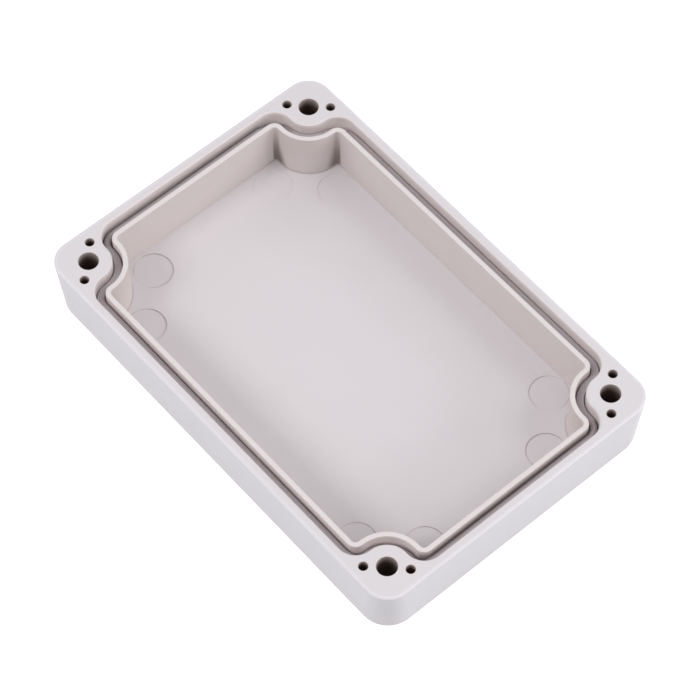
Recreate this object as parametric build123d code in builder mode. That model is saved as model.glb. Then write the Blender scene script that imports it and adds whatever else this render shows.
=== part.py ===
from build123d import *
from math import atan2, degrees, radians, tan
import os

# Cover half of a sealed junction box, lying on its outer face with the open side up.
# The origin is at the middle of the outer face. X runs along the long side, Z is up.
# All lengths are in millimetres, all angles in degrees.

# Outer form
case_length = 150.0
case_width = 101.6
case_height = 20.0
rim_corner_radius = 7.4
base_corner_radius = 9.0
wall_draft = 2.4
rim_edge_radius = 0.6
base_edge_radius = 0.9

# Section through the side wall, from the outside in
rim_width = 2.85
groove_width = 3.05
lip_width = 1.55
groove_depth = 6.8
groove_draft = 2.0
lip_drop = 1.1
land_edge_radius = 0.45
lip_edge_radius = 0.3

# Cavity
floor_thickness = 2.0
cavity_draft = 0.5
cavity_corner_radius = 1.4
floor_edge_radius = 0.3

# Corner posts: the screw bore, its well in the outer face and the wall that the groove bends round
screw_bore = 6.0
post_wall = 3.85
well_diameter = 9.5
well_depth = 6.0
well_edge = 0.4
straight_along = 0.25
straight_across = 0.65

# Blind holes that lighten each post, one on either side of its bore
core_hole = 2.8
core_hole_wall = 2.1
core_hole_swing = 86.4

# Round marks left on the floor by the ejector pins, measured from the screw in the same corner
pin_mark = 11.8
pin_mark_depth = 0.2
pin_mark_far = 18.7
pin_mark_near = 5.1

# Sealing strip in the groove
strip_clearance = 0.2
strip_height = 3.3
strip_edge_radius = 0.6

# Half the height band in which an edge counts as level with a plane
level_band = 0.01

# Places that follow from the sizes above
base_inset = case_height * tan(radians(wall_draft))
groove_inner = rim_width + groove_width
cavity_inset = groove_inner + lip_width
lip_top = case_height - lip_drop
groove_floor = case_height - groove_depth
groove_narrowing = groove_depth * tan(radians(groove_draft))
lip_spread = (lip_top - groove_floor) * tan(radians(groove_draft))
post_radius = screw_bore / 2 + post_wall
screw_x = case_length / 2 - cavity_inset - cavity_corner_radius - straight_across
screw_y = case_width / 2 - cavity_inset - cavity_corner_radius - straight_along
core_pitch = (screw_bore + core_hole) / 2 + core_hole_wall
core_hole_end = well_depth + floor_thickness
corners = [(side_x, side_y) for side_x in (-1, 1) for side_y in (-1, 1)]


def seal_outline(inset):
    """Plan of the run round the case at a distance in from the rim: it steps in round each corner post."""
    post = post_radius + inset - rim_width
    bend = cavity_corner_radius + cavity_inset - inset
    long_side = case_length - 2 * inset
    short_side = case_width - 2 * inset
    with BuildSketch() as plan:
        Rectangle(2 * (screw_x - post), short_side)
        Rectangle(long_side, 2 * (screw_y - post))
        # The four inward vertices lie nearest the middle, the eight outward ones farther off
        fillet(plan.vertices().sort_by_distance((0, 0))[4:], radius=bend)
        fillet(plan.vertices().sort_by_distance((0, 0))[:4], radius=post)
    return plan.sketch


def edges_at(part, height):
    """Level edges of a part that lie at one height."""
    return part.edges().filter_by_position(Axis.Z, height - level_band, height + level_band)


with BuildPart() as cover:
    # Drafted block, a little rounder at the corners of its outer face than at the rim
    with BuildSketch(Plane.XY):
        RectangleRounded(case_length - 2 * base_inset, case_width - 2 * base_inset, base_corner_radius)
    with BuildSketch(Plane.XY.offset(case_height)):
        RectangleRounded(case_length, case_width, rim_corner_radius)
    loft()
    fillet(edges_at(cover, case_height), radius=rim_edge_radius)
    fillet(edges_at(cover, 0), radius=base_edge_radius)

    # Everything inside the rim is cut down to the groove's floor, and the lip's block stands up from there
    with BuildSketch(Plane.XY.offset(case_height)):
        add(seal_outline(rim_width))
    extrude(amount=-groove_depth, taper=groove_draft, mode=Mode.SUBTRACT)
    rim_face = cover.faces().sort_by(Axis.Z)[-1]
    fillet(rim_face.inner_wires()[0].edges(), radius=land_edge_radius)
    with BuildSketch(Plane.XY.offset(groove_floor)):
        add(seal_outline(groove_inner - lip_spread))
    with BuildSketch(Plane.XY.offset(lip_top)):
        add(seal_outline(groove_inner))
    loft(ruled=True)

    # The cavity leaves the lip's wall standing and narrows towards its floor
    with BuildSketch(Plane.XY.offset(lip_top)):
        add(seal_outline(cavity_inset))
    extrude(amount=floor_thickness - lip_top, taper=cavity_draft, mode=Mode.SUBTRACT)
    fillet(edges_at(cover, floor_thickness), radius=floor_edge_radius)
    fillet(edges_at(cover, lip_top), radius=lip_edge_radius)

    # Screw bores right through, each with a well for the screw's head in the outer face
    with Locations(Plane.XY.rotated((180, 0, 0))):
        with GridLocations(2 * screw_x, 2 * screw_y, 2, 2):
            CounterBoreHole(screw_bore / 2, well_diameter / 2, well_depth)
    chamfer(edges_at(cover, 0).filter_by(GeomType.CIRCLE).sort_by(SortBy.RADIUS)[:4], length=well_edge)

    # Two blind holes beside each bore, swung to either side of the corner's diagonal
    with BuildSketch(Plane.XY.offset(case_height)):
        for side_x, side_y in corners:
            first_hole = degrees(atan2(side_y, side_x)) - core_hole_swing
            with Locations((side_x * screw_x, side_y * screw_y)):
                with PolarLocations(core_pitch, 2, first_hole, 2 * core_hole_swing, endpoint=True):
                    Circle(core_hole / 2)
    extrude(amount=core_hole_end - case_height, mode=Mode.SUBTRACT)

    # Shallow round marks of the ejector pins, two near each corner
    with BuildSketch(Plane.XY.offset(floor_thickness)):
        with GridLocations(2 * (screw_x - pin_mark_far), 2 * (screw_y - pin_mark_near), 2, 2):
            Circle(pin_mark / 2)
        with GridLocations(2 * (screw_x - pin_mark_near), 2 * (screw_y - pin_mark_far), 2, 2):
            Circle(pin_mark / 2)
    extrude(amount=-pin_mark_depth, mode=Mode.SUBTRACT)

cover.part.label = "cover"

with BuildPart() as sealing_strip:
    with BuildSketch(Plane.XY.offset(groove_floor)):
        add(seal_outline(rim_width + groove_narrowing + strip_clearance))
        add(seal_outline(groove_inner - lip_spread - strip_clearance), mode=Mode.SUBTRACT)
    extrude(amount=strip_height)
    fillet(edges_at(sealing_strip, groove_floor + strip_height), radius=strip_edge_radius)

sealing_strip.part.label = "sealing_strip"

os.makedirs("parts", exist_ok=True)
export_step(cover.part, "parts/cover.step")
export_step(sealing_strip.part, "parts/sealing_strip.step")
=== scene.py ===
from math import cos, radians, sin

import bmesh
import bpy
from mathutils import Matrix, Vector


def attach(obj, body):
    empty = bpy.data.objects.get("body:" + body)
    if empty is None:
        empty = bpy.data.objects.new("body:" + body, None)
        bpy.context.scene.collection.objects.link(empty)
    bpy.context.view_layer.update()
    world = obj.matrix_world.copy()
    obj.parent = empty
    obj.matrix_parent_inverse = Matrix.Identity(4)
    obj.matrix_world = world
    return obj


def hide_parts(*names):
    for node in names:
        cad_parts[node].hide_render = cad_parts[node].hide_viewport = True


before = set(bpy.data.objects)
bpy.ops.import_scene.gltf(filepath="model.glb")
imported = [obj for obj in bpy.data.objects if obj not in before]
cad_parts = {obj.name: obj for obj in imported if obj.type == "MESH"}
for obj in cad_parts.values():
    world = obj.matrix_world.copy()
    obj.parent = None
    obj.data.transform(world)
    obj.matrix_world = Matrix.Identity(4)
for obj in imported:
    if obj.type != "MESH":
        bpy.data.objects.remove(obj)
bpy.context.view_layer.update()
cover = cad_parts["cover"]
sealing_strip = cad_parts["sealing_strip"]

# Lengths are in metres. The case lies on its outer face, X runs along its long side.

mm = 0.001

# The cover. The four corners are alike, and these places are those of the one where X and Y are
# positive. post_face is how far the post's face in the cavity stands from the screw.
rim_half_length = 75.0 * mm
rim_half_width = 50.8 * mm
rim_height = 20.0 * mm
rim_corner_radius = 7.4 * mm
lip_height = 18.9 * mm
well_top = 6.0 * mm
floor_top = 2.0 * mm
screw = (65.5 * mm, 41.7 * mm, 0.0)
screw_bore_radius = 3.0 * mm
post_face = 11.45 * mm
core_holes = ((61.2 * mm, 46.58 * mm, 0.0), (70.38 * mm, 37.4 * mm, 0.0))
core_hole_radius = 1.4 * mm
recesses = ((67.2 * mm, 30.5 * mm, 0.0), (54.3 * mm, 43.0 * mm, 0.0))
pin_marks = ((46.8 * mm, 36.6 * mm, 0.0), (60.4 * mm, 23.0 * mm, 0.0))
pin_mark_radius = 5.9 * mm

# The seal run, as distances in from the rim. Drawn at the rim, its outline would pass the screw at
# post_step and turn at bend_radius beside each post. quarter_slope ends the arc round the post
# sharply.
rim_width = 2.85 * mm
strip_middle = 4.4 * mm
lip_outer = 5.9 * mm
lip_inner = 7.45 * mm
post_step = 4.0 * mm
bend_radius = 8.85 * mm
quarter_slope = 200.0

# The foam bead. At three places it dips by a share of its height. Each dip is given by its middle,
# the distance from there at which it starts, and the one at which it is full.
strip_top = 16.5 * mm
groove_floor = 13.2 * mm
far_bends = (Vector((-55.8, 45.1, 17.0)) * mm, Vector((-69.3, 32.0, 17.0)) * mm)
bead_dips = (
    (Vector((65.5, -41.7)) * mm, 13.0 * mm, 9.6 * mm),
    (far_bends[0].xy, 6.0 * mm, 2.5 * mm),
    (far_bends[1].xy, 6.0 * mm, 2.5 * mm),
)
bead_dip_depth = 0.4
bead_voxel = 0.3 * mm
bead_slump = 0.5
bead_slump_passes = 4

# The case's short sides: along X, where they start to count and where they count in full
short_side = (66.6 * mm, 68.1 * mm)


# Camera

view_centre = Vector((0.006692, -0.004303, 0.020074))
view_distance = 0.8999
view_azimuth = radians(-40.375)
view_elevation = radians(58.645)
view_roll = radians(-0.465)
film_width = 36.0
focal_length = 163.27

towards_camera = Vector((
    cos(view_elevation) * cos(view_azimuth),
    cos(view_elevation) * sin(view_azimuth),
    sin(view_elevation),
))
lens = bpy.data.cameras.new("camera")
lens.sensor_width = film_width
lens.lens = focal_length
camera = bpy.data.objects.new("camera", lens)
bpy.context.scene.collection.objects.link(camera)
camera.location = view_centre + towards_camera * view_distance
aim = (-towards_camera).to_track_quat("-Z", "Y").to_matrix() @ Matrix.Rotation(view_roll, 3, "Z")
camera.rotation_euler = aim.to_euler()
bpy.context.scene.camera = camera
bpy.context.scene.view_settings.view_transform = "Standard"


# Shader maths

class Number:
    """A number that varies over a surface. Arithmetic on it adds Math nodes to its finish."""

    def __init__(self, finish, socket):
        self.finish = finish
        self.socket = socket

    def __add__(self, other):
        return self.finish.math("ADD", self, other)

    def __radd__(self, other):
        return self.finish.math("ADD", other, self)

    def __sub__(self, other):
        return self.finish.math("SUBTRACT", self, other)

    def __rsub__(self, other):
        return self.finish.math("SUBTRACT", other, self)

    def __mul__(self, other):
        return self.finish.math("MULTIPLY", self, other)

    def __rmul__(self, other):
        return self.finish.math("MULTIPLY", other, self)

    def __abs__(self):
        return self.finish.math("ABSOLUTE", self)


class Finish:
    """The nodes of one material, or of the room."""

    def __init__(self, owner):
        owner.use_nodes = True
        self.owner = owner
        self.tree = owner.node_tree
        self.tree.nodes.clear()

    def node(self, kind, settings=None, sockets=None):
        """Adds a node. Its settings come first, then the values or links of its sockets."""
        made = self.tree.nodes.new(kind)
        for name, value in (settings or {}).items():
            setattr(made, name, value)
        for name, value in (sockets or {}).items():
            socket = made.inputs[name]
            if isinstance(value, Number):
                self.tree.links.new(value.socket, socket)
            elif isinstance(value, bpy.types.NodeSocket):
                self.tree.links.new(value, socket)
            else:
                socket.default_value = value
        return made

    def math(self, operation, first, second=0.0):
        made = self.node("ShaderNodeMath", {"operation": operation}, {0: first, 1: second})
        return Number(self, made.outputs[0])

    def larger(self, first, second):
        return self.math("MAXIMUM", first, second)

    def smaller(self, first, second):
        return self.math("MINIMUM", first, second)

    def share(self, value, none_at, all_at):
        """Soft step from 0, where the value is none_at, to 1, where it is all_at."""
        made = self.node("ShaderNodeMapRange", {"interpolation_type": "SMOOTHSTEP"}, {
            "Value": value, "From Min": none_at, "From Max": all_at, "To Min": 0.0, "To Max": 1.0,
        })
        return Number(self, made.outputs["Result"])

    def place(self):
        return self.node("ShaderNodeTexCoord").outputs["Object"]

    def apart(self, vector):
        """The three numbers of a vector."""
        made = self.node("ShaderNodeSeparateXYZ", {}, {"Vector": vector})
        return [Number(self, made.outputs[axis]) for axis in ("X", "Y", "Z")]

    def distance(self, place, centre):
        settings = {"operation": "DISTANCE"}
        made = self.node("ShaderNodeVectorMath", settings, {0: place, 1: centre})
        return Number(self, made.outputs["Value"])

    def nearest(self, place, centres):
        """Distance to the nearer of two centres."""
        return self.smaller(self.distance(place, centres[0]), self.distance(place, centres[1]))

    def grain(self, size, detail=2.0, roughness=0.5):
        """Noise whose lumps are about this size, from 0 to 1."""
        made = self.node("ShaderNodeTexNoise", {"noise_dimensions": "3D"}, {
            "Vector": self.place(),
            "Scale": 1.0 / size,
            "Detail": detail,
            "Roughness": roughness,
        })
        return Number(self, made.outputs["Fac"])

    def between(self, low, high, share):
        """Colour between a written colour or a socket and a written colour."""
        first = low if isinstance(low, bpy.types.NodeSocket) else (*low, 1.0)
        settings = {"data_type": "RGBA"}
        made = self.node("ShaderNodeMix", settings, {0: share, 6: first, 7: (*high, 1.0)})
        return made.outputs[2]

    def tinted(self, colour, tint, where):
        """Colour with a tint laid over it. A tint is a written colour and its greatest share."""
        shade, most = tint
        return self.between(colour, shade, most * where)

    def bump(self, height, depth):
        made = self.node("ShaderNodeBump", {}, {"Height": height, "Distance": depth})
        return made.outputs["Normal"]

    def surface(self, shader):
        self.node("ShaderNodeOutputMaterial", {}, {"Surface": shader})
        return self.owner


def dress(node, material):
    """Gives a node of the frame its finish."""
    node.data.materials.clear()
    node.data.materials.append(material)


# Place on the case

def folded(finish):
    """Place in plan with the four corners folded onto one, as two numbers and as a vector."""
    across, deep, height = finish.apart(finish.place())
    along = abs(across)
    sideways = abs(deep)
    plan = finish.node("ShaderNodeCombineXYZ", {}, {"X": along, "Y": sideways}).outputs["Vector"]
    return along, sideways, height, plan


def rounded_box(finish, along, sideways, half_length, half_width, corner):
    """Distance in from the outline of a rounded oblong, up to its corner radius."""
    past_end = finish.larger(along - (half_length - corner), 0.0)
    past_side = finish.larger(sideways - (half_width - corner), 0.0)
    return corner - finish.math("SQRT", past_end * past_end + past_side * past_side)


def seal_run(finish, along, sideways, from_screw):
    """Distance in from the rim, counted along the run that steps in round each corner post."""
    arm_half_length = screw[0] - post_step
    arm_half_width = screw[1] - post_step
    long_arm = rounded_box(
        finish, along, sideways, rim_half_length, arm_half_width, bend_radius)
    short_arm = rounded_box(
        finish, along, sideways, arm_half_length, rim_half_width, bend_radius)
    # The arc round the post counts only on the side of the screw that faces the case's middle
    in_quarter = quarter_slope * finish.smaller(screw[0] - along, screw[1] - sideways)
    round_post = finish.smaller(from_screw - post_step, in_quarter)
    return finish.larger(finish.larger(long_arm, short_arm), round_post)


# Moulded plastic of the cover

plastic_roughness = 0.46
plastic_ior = 1.5
clouded_plastic = ((0.748, 0.708, 0.733), (0.778, 0.738, 0.763))

# Tints over it, each with its greatest share. Every one of them is painted light or shade.
inner_wall_painted_shade = ((0.655, 0.585, 0.572), 0.85)
outer_wall_painted_shade = ((0.735, 0.715, 0.755), 0.8)
lip_painted_highlight = ((0.81, 0.745, 0.745), 0.8)
edge_painted_highlight = ((0.83, 0.80, 0.85), 0.6)
groove_wall_painted_light = ((0.87, 0.79, 0.78), 1.0)
lip_foot_painted_shadow = ((0.33, 0.27, 0.265), 0.5)
recess_shade = ((0.17, 0.13, 0.12), 0.85)
wall_foot_painted_shade = ((0.61, 0.545, 0.54), 0.9)
post_foot_shade = ((0.30, 0.25, 0.24), 0.35)
post_painted_shade = ((0.54, 0.465, 0.445), 0.4)
hole_mouth_painted_shade = ((0.50, 0.415, 0.38), 0.8)
hole_painted_shade = ((0.075, 0.042, 0.032), 0.96)
pin_mark_painted_shade = ((0.42, 0.37, 0.37), 0.6)

# The painted shade round the pin marks is left out round this place
pin_shade_gap_corner = (-53.6 * mm, 29.8 * mm, 2.0 * mm)


def moulded_plastic():
    finish = Finish(bpy.data.materials.new("moulded_plastic"))
    share = finish.share
    tinted = finish.tinted
    place = finish.place()
    along, sideways, height, plan = folded(finish)
    upward = finish.apart(finish.node("ShaderNodeTexCoord").outputs["Normal"])[2]
    upright = share(abs(upward), 0.75, 0.35)
    inset = rounded_box(
        finish, along, sideways, rim_half_length, rim_half_width, rim_corner_radius)
    from_screw = finish.distance(plan, screw)
    run = seal_run(finish, along, sideways, from_screw)
    inside = share(run, rim_width - 0.4 * mm, rim_width - 0.1 * mm)

    # Colour of the moulding, with painted shade on the walls: cooler outside, warmer on the inner
    # walls
    clouding = finish.grain(18.0 * mm, 3.0)
    colour = finish.between(*clouded_plastic, clouding)
    colour = tinted(colour, inner_wall_painted_shade, upright * inside)
    colour = tinted(colour, outer_wall_painted_shade, upright * share(inset, 1.4 * mm, 1.0 * mm))

    # Painted highlights make the lip's top and the rim's outer edge a little paler
    on_lip = share(height, lip_height - 0.45 * mm, lip_height - 0.15 * mm) * inside
    on_lip = on_lip * share(upward, 0.4, 0.9)
    on_lip = on_lip * share(run, lip_inner + 0.05 * mm, lip_inner - 0.5 * mm)
    colour = tinted(colour, lip_painted_highlight, on_lip)
    on_edge = share(inset, 1.2 * mm, 0.8 * mm)
    on_edge = on_edge * share(height, rim_height - 0.8 * mm, rim_height - 0.3 * mm)
    colour = tinted(colour, edge_painted_highlight, on_edge)

    # Painted light makes the walls of the groove paler above the strip, most of all on the side of
    # the lip, and beside it along the two long sides
    in_groove = inside * upright * share(run, lip_outer + 0.3 * mm, lip_outer + 0.05 * mm)
    on_lip_side = share(run, strip_middle - 0.5 * mm, strip_middle + 0.5 * mm)
    on_rim_side = 1.0 - on_lip_side
    at_end = share(along, *short_side)
    above_strip = share(height, strip_top - 0.2 * mm, strip_top + 1.0 * mm)
    near_rim = share(height, rim_height - 1.7 * mm, rim_height - 0.6 * mm)
    beside_strip = share(abs(height - strip_top), 1.2 * mm, 0.4 * mm)
    pale = above_strip * (0.02 + 0.4 * at_end * on_rim_side + 0.7 * on_lip_side)
    pale = pale + 0.4 * near_rim * on_rim_side
    pale = finish.larger(pale, (0.4 + 0.55 * on_lip_side) * beside_strip * (1.0 - at_end))
    # Painted light makes them paler, too, low in the two bends beside the far post
    below_rim = share(height, rim_height - 1.2 * mm, rim_height - 3.2 * mm)
    at_far_bend = share(finish.nearest(place, far_bends), 6.5 * mm, 3.0 * mm)
    pale = finish.larger(pale, 0.62 * below_rim * at_far_bend)
    colour = tinted(colour, groove_wall_painted_light, in_groove * pale)
    # Along the two short sides the lip's foot gets a painted shadow
    low_on_lip = on_lip_side * share(height, strip_top + 1.4 * mm, strip_top + 0.2 * mm)
    colour = tinted(colour, lip_foot_painted_shadow, in_groove * low_on_lip * at_end)

    # Shade in the recesses where the side walls meet the posts, wider towards the floor
    on_inner_wall = share(run, lip_inner - 0.45 * mm, lip_inner - 0.15 * mm) * upright
    depth = lip_height - height
    in_recess = share(finish.nearest(plan, recesses) - 0.25 * depth, 1.1 * mm, -2.4 * mm)
    in_recess = in_recess * share(from_screw, post_face + 1.55 * mm, post_face + 0.95 * mm)
    colour = tinted(colour, recess_shade, in_recess * on_inner_wall)

    # Painted shade: a darker line along the foot of the walls, and shade round the feet of the
    # posts
    above_outer_face = share(height, 0.9 * mm, 1.5 * mm)
    past_lip = share(run, lip_inner - 0.4 * mm, lip_inner - 0.1 * mm) * above_outer_face
    along_foot = past_lip * share(height, floor_top + 0.6 * mm, floor_top + 0.3 * mm)
    along_foot = along_foot * share(run, lip_inner + 0.6 * mm, lip_inner + 0.4 * mm)
    colour = tinted(colour, wall_foot_painted_shade, along_foot)
    at_foot = past_lip * share(height, floor_top + 0.55 * mm, floor_top + 0.15 * mm)
    at_foot = at_foot * share(run, lip_inner + 0.55 * mm, lip_inner + 0.25 * mm)
    at_foot = at_foot * share(from_screw, 16.0 * mm, 12.8 * mm)
    colour = tinted(colour, post_foot_shade, at_foot)

    # Painted shade makes the posts a little darker and browner towards their tops
    on_post = share(from_screw, post_face + 0.85 * mm, post_face + 0.25 * mm) * on_inner_wall
    colour = tinted(colour, post_painted_shade, on_post * share(height, floor_top, lip_height))

    # Painted shade makes the bores and the blind holes brown at their mouths and nearly black
    # farther down
    above_well = share(height, well_top, well_top + 1.5 * mm)
    in_bore = share(from_screw, screw_bore_radius + 0.12 * mm, screw_bore_radius + 0.03 * mm)
    from_core = finish.nearest(plan, core_holes)
    in_core = share(from_core, core_hole_radius + 0.12 * mm, core_hole_radius + 0.03 * mm)
    colour = tinted(colour, hole_mouth_painted_shade, finish.larger(in_bore, in_core) * above_well)
    deep_in_bore = in_bore * share(height, rim_height + 1.5 * mm, rim_height - 4.5 * mm)
    deep_in_core = in_core * share(height, rim_height + 0.4 * mm, rim_height - 2.6 * mm)
    in_hole = finish.larger(deep_in_bore, deep_in_core) * above_well
    colour = tinted(colour, hole_painted_shade, in_hole)

    # Thin lines of painted shade along the edges of the ejector pins' marks, broken here and there,
    # and left out at one corner
    from_line = abs(finish.nearest(plan, pin_marks) - pin_mark_radius)
    on_line = share(from_line, 0.22 * mm, 0.08 * mm) * above_outer_face
    on_line = on_line * share(height, floor_top + 0.3 * mm, floor_top + 0.1 * mm)
    on_line = on_line * share(finish.grain(9.0 * mm), 0.35, 0.6)
    on_line = on_line * share(finish.distance(place, pin_shade_gap_corner), 18.0 * mm, 30.0 * mm)
    colour = tinted(colour, pin_mark_painted_shade, on_line)

    fine_grain = finish.grain(0.35 * mm)
    sheen = finish.grain(6.0 * mm)
    shader = finish.node("ShaderNodeBsdfPrincipled", {}, {
        "Base Color": colour,
        "Roughness": plastic_roughness + 0.08 * sheen + 0.46 * in_hole,
        "Normal": finish.bump(fine_grain, 0.01 * mm),
        "IOR": plastic_ior,
    })
    return finish.surface(shader.outputs["BSDF"])


dress(cover, moulded_plastic())


# Foam rubber of the sealing strip

foam_roughness = 0.75
foam_ior = 1.45
mottled_foam = ((0.46, 0.415, 0.44), (0.69, 0.63, 0.665))
# Painted shadow on the strip's sides
foam_side_painted_shadow = (0.20, 0.165, 0.17)
foam_at_post = ((0.36, 0.32, 0.335), 0.32)
# Painted light on the strip's edge by the rim
foam_edge_painted_light = ((0.92, 0.86, 0.89), 0.6)


def foam_rubber():
    finish = Finish(bpy.data.materials.new("foam_rubber"))
    share = finish.share
    along, sideways, _, plan = folded(finish)
    from_screw = finish.distance(plan, screw)
    run = seal_run(finish, along, sideways, from_screw)
    pores = finish.grain(0.4 * mm, 3.0, 0.6)
    mottle = finish.grain(3.0 * mm)
    # Fine lines along the strip, left by the nozzle that laid it
    lines = finish.node("ShaderNodeTexNoise", {"noise_dimensions": "1D"}, {
        "W": run, "Scale": 1.0 / (0.45 * mm),
    })
    streaks = Number(finish, lines.outputs["Fac"])
    colour = finish.between(*mottled_foam, 0.35 * pores + 0.3 * mottle + 0.35 * streaks)
    # Painted shadow darkens its sides along the two short sides of the case, and a little by the
    # lip
    at_end = share(along, *short_side)
    at_side = share(abs(run - strip_middle), -0.2 * mm, 0.8 * mm)
    on_lip_side = share(run, strip_middle, strip_middle + 0.8 * mm)
    dark = 0.72 * at_side * at_end + 0.2 * on_lip_side * (1.0 - at_end)
    colour = finish.between(colour, foam_side_painted_shadow, dark)
    # It is darker round the posts; painted light makes it paler by the rim along the two long sides
    colour = finish.tinted(colour, foam_at_post, share(from_screw, 15.0 * mm, 11.0 * mm))
    on_rim_side = share(run, strip_middle - 0.5 * mm, strip_middle - 1.0 * mm)
    colour = finish.tinted(colour, foam_edge_painted_light, on_rim_side * (1.0 - at_end))
    shader = finish.node("ShaderNodeBsdfPrincipled", {}, {
        "Base Color": colour,
        "Roughness": foam_roughness + 0.15 * pores,
        "Normal": finish.bump(0.6 * pores + 0.4 * streaks, 0.08 * mm),
        "IOR": foam_ior,
    })
    return finish.surface(shader.outputs["BSDF"])


# Foam bead in the groove: the strip's own solid with its corners slumped round, as poured foam sets

def bead_height(point):
    """Height of a point of the bead once the bead has dipped there."""
    dip = 0.0
    for middle, starts, full in bead_dips:
        within = min(max((starts - (point.xy - middle).length) / (starts - full), 0.0), 1.0)
        dip = max(dip, within * within * (3.0 - 2.0 * within))
    return groove_floor + (point.z - groove_floor) * (1.0 - bead_dip_depth * dip)


def foam_bead():
    shape = bmesh.new()
    shape.from_mesh(sealing_strip.data)
    bmesh.ops.remove_doubles(shape, verts=shape.verts, dist=0.001 * mm)
    mesh = bpy.data.meshes.new("foam_bead")
    shape.to_mesh(mesh)
    shape.free()
    mesh.materials.clear()
    mesh.materials.append(foam_rubber())
    bead = bpy.data.objects.new("foam_bead", mesh)
    bpy.context.scene.collection.objects.link(bead)
    skin = bead.modifiers.new("skin", "REMESH")
    skin.mode = "VOXEL"
    skin.voxel_size = bead_voxel
    slump = bead.modifiers.new("slump", "SMOOTH")
    slump.factor = bead_slump
    slump.iterations = bead_slump_passes
    shaped = bead.evaluated_get(bpy.context.evaluated_depsgraph_get())
    finished = bpy.data.meshes.new_from_object(shaped)
    bead.modifiers.clear()
    bead.data = finished
    finished.polygons.foreach_set("use_smooth", [True] * len(finished.polygons))
    # Smoothing draws the underside up a little, so the bead is set down on the groove's floor again
    lowest = min(vertex.co.z for vertex in finished.vertices)
    finished.transform(Matrix.Translation((0.0, 0.0, groove_floor - lowest)))
    # It lies lower round the near post and at the two bends beside the far post
    for vertex in finished.vertices:
        vertex.co.z = bead_height(vertex.co)
    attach(bead, "root")
    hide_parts("sealing_strip")


foam_bead()


# Floor, a hair below the object, so that the two faces don't coincide

floor_half_size = 3.0
floor_drop = Matrix.Translation((0.0, 0.0, -0.02 * mm))
floor_grey = (0.62, 0.62, 0.62, 1.0)
floor_glow = 0.8


def seen_directly(finish):
    """1 for rays from the camera, mirrors or glass, and 0 for light that falls on the object."""
    path = finish.node("ShaderNodeLightPath")
    seen = finish.larger(path.outputs["Is Camera Ray"], path.outputs["Is Glossy Ray"])
    return finish.larger(seen, path.outputs["Is Transmission Ray"])


def white_floor():
    """Matte white floor that shows only a faint shadow."""
    finish = Finish(bpy.data.materials.new("white_floor"))
    glow = finish.node("ShaderNodeEmission", {}, {"Strength": floor_glow * seen_directly(finish)})
    matte = finish.node("ShaderNodeBsdfDiffuse", {}, {"Color": floor_grey})
    both = finish.node("ShaderNodeAddShader", {}, {0: glow.outputs[0], 1: matte.outputs[0]})
    return finish.surface(both.outputs[0])


def ground():
    shape = bmesh.new()
    bmesh.ops.create_grid(
        shape, x_segments=1, y_segments=1, size=floor_half_size, matrix=floor_drop)
    mesh = bpy.data.meshes.new("floor")
    shape.to_mesh(mesh)
    shape.free()
    mesh.materials.append(white_floor())
    piece = bpy.data.objects.new("floor", mesh)
    bpy.context.scene.collection.objects.link(piece)


ground()


# Studio light

white = (1.0, 1.0, 1.0, 1.0)
room_level = 0.52
lamp_distance = 1.2
lamp_width = 0.4

# Each lamp's name, azimuth and elevation in degrees, and power in watts
lamps = (
    ("right_end", 15.0, 20.0, 1.45),
    ("right_low", 45.0, 20.0, 3.23),
    ("right", 45.0, 45.0, 1.96),
    ("left_end", 225.0, 20.0, 1.53),
    ("front_left", 255.0, 45.0, 3.9),
)


def softbox(name, azimuth, elevation, power):
    """Square lamp aimed at the middle of the object."""
    turn = radians(azimuth)
    tilt = radians(elevation)
    towards_lamp = Vector((cos(tilt) * cos(turn), cos(tilt) * sin(turn), sin(tilt)))
    light = bpy.data.lights.new(name, "AREA")
    light.shape = "SQUARE"
    light.size = lamp_width
    light.energy = power
    lamp = bpy.data.objects.new(name, light)
    bpy.context.scene.collection.objects.link(lamp)
    lamp.location = lamp_distance * towards_lamp
    lamp.rotation_euler = (-towards_lamp).to_track_quat("-Z", "Y").to_euler()


def room():
    """Even light from all round, and plain white to the camera."""
    world = bpy.data.worlds.new("room")
    bpy.context.scene.world = world
    finish = Finish(world)
    strength = room_level + (1.0 - room_level) * seen_directly(finish)
    background = finish.node("ShaderNodeBackground", {}, {"Color": white, "Strength": strength})
    finish.node("ShaderNodeOutputWorld", {}, {"Surface": background.outputs[0]})


room()
for lamp in lamps:
    softbox(*lamp)
